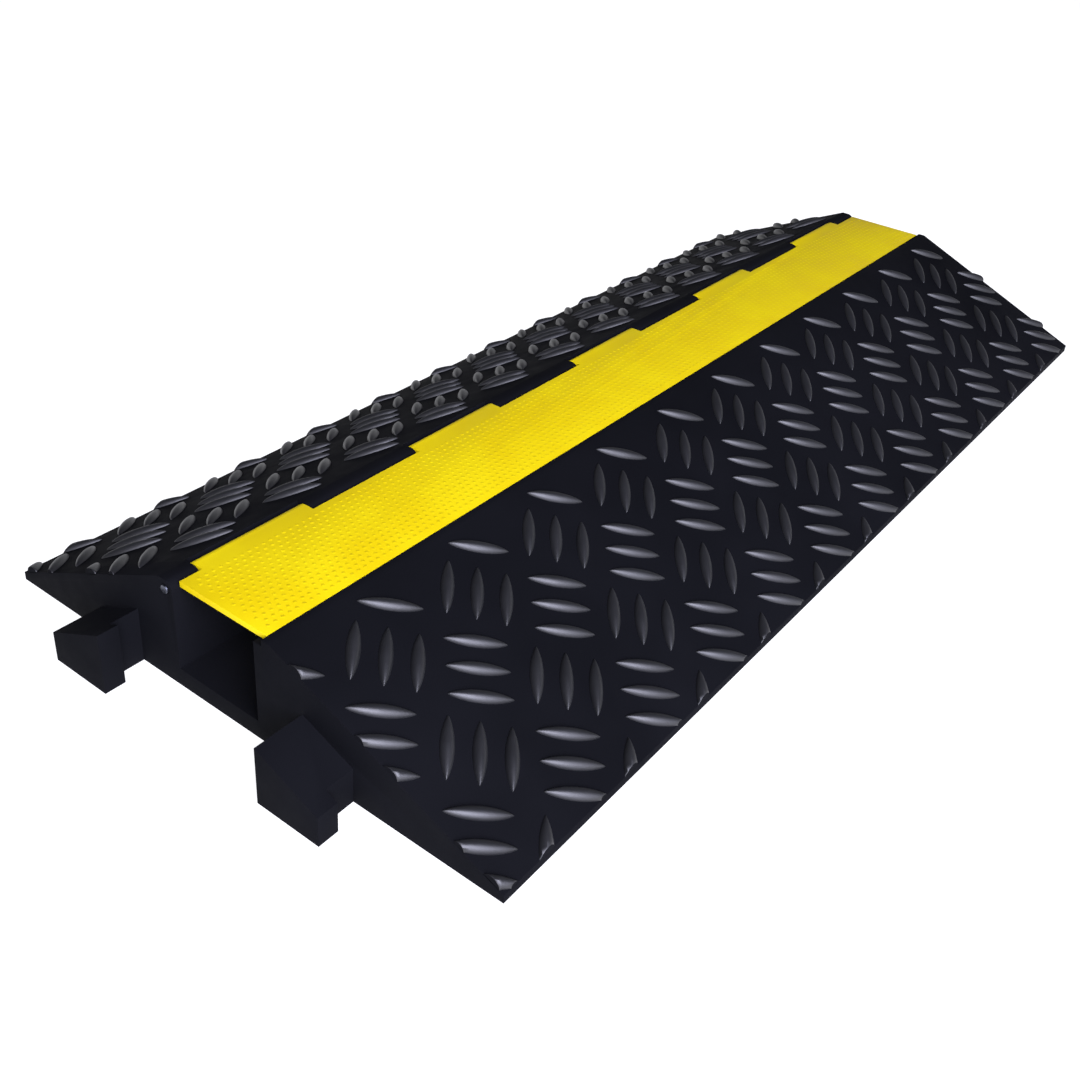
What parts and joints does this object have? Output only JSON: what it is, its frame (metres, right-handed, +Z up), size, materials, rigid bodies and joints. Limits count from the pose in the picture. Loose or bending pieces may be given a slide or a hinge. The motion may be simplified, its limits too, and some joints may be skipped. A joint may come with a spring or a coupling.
{
  "type": "cable protector",
  "caption": "Drive-over cable protector: treaded black ramps either side of a cable channel, a hinged yellow lid, and end hooks that join to the next unit.",
  "frame": {"origin": "middle of the base moulding's underside, on the floor, without its end hooks", "axes": "+X along the cable channel, from the end with the hooks to the end with the sockets; +Y across the ramps, towards the lid's hinge; +Z up"},
  "size_m": [0.95, 0.412, 0.076],
  "materials": {
    "base": "satin black moulding",
    "lid": "fine-textured safety yellow",
    "rod": "bright drawn rod"
  },
  "bodies": {
    "base": {"base_moulding": "base", "hinge_rod": "rod"},
    "lid": {"channel_lid": "lid"}
  },
  "joints": [
    {"name": "lid_hinge", "type": "hinge", "parent": "base", "child": "lid", "pos_m": [0, 0.052, 0.0695], "axis": [-1, 0, 0], "range_deg": [0, 100]}
  ]
}
